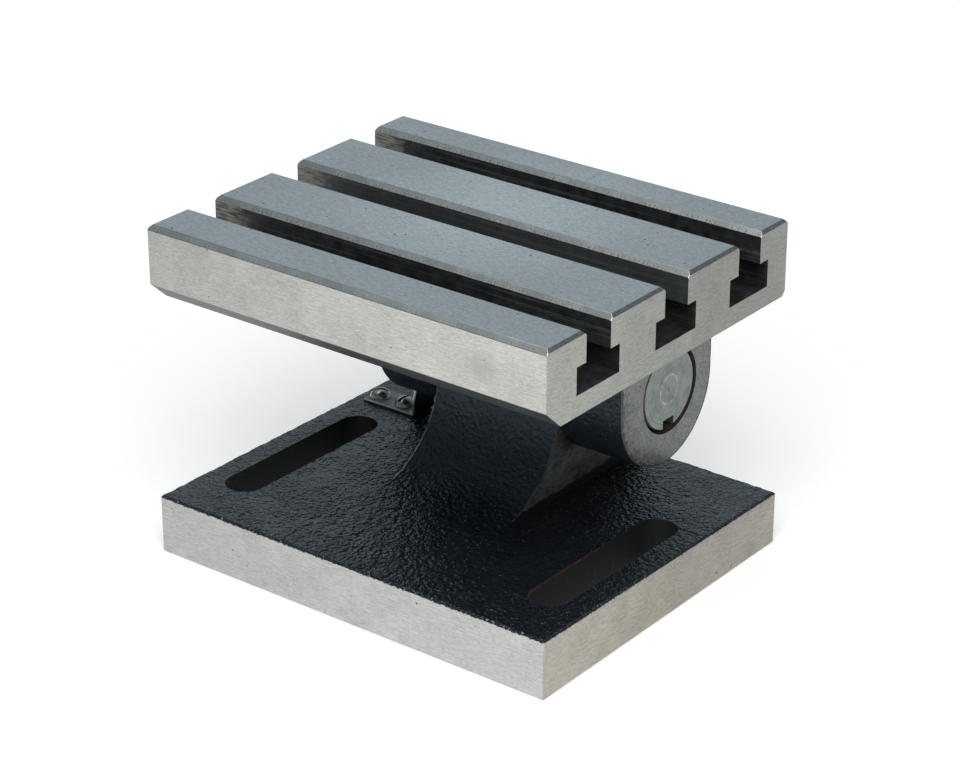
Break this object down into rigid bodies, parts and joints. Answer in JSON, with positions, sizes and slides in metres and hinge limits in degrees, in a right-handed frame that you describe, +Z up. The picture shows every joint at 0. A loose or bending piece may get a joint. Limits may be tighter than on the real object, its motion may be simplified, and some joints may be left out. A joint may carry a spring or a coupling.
{
  "type": "adjustable angle plate",
  "caption": "Cast-iron tilting angle plate: a T-slotted table on hinge ears, held on a flared pedestal over a slotted base by a clamp bolt, with an index pointer.",
  "frame": {"origin": "middle of the base's underside", "axes": "+X along the T-slots and the hinge, away from the clamp nut; +Y to the back, where the hinge is; +Z up"},
  "size_m": [0.178, 0.146, 0.1322],
  "materials": {
    "base_iron": "black paint on rough casting, sides machined bare",
    "table_iron": "milled and ground grey iron, T-slots and ears dark",
    "bolt_steel": "turned steel",
    "key_steel": "dark oiled steel",
    "washer_steel": "turned steel",
    "nut_steel": "blackened steel",
    "pointer_sheet": "dull sheet steel",
    "screw_steel": "bright steel"
  },
  "bodies": {
    "base": {"base": "base_iron", "index_pointer": "pointer_sheet", "index_screws": "screw_steel"},
    "table": {"table": "table_iron", "pivot_bolt": "bolt_steel", "bolt_key": "key_steel", "clamp_washer": "washer_steel"},
    "clamp_nut": {"clamp_nut": "nut_steel"}
  },
  "joints": [
    {"name": "table_tilt", "type": "hinge", "parent": "base", "child": "table", "pos_m": [0, 0.0462, 0.065], "axis": [-1, 0, 0], "range_deg": [-30, 90]},
    {"name": "clamp_nut_turn", "type": "hinge", "parent": "table", "child": "clamp_nut", "pos_m": [-0.06855, 0.0462, 0.065], "axis": [-1, 0, 0], "range_deg": [0, 180]}
  ]
}
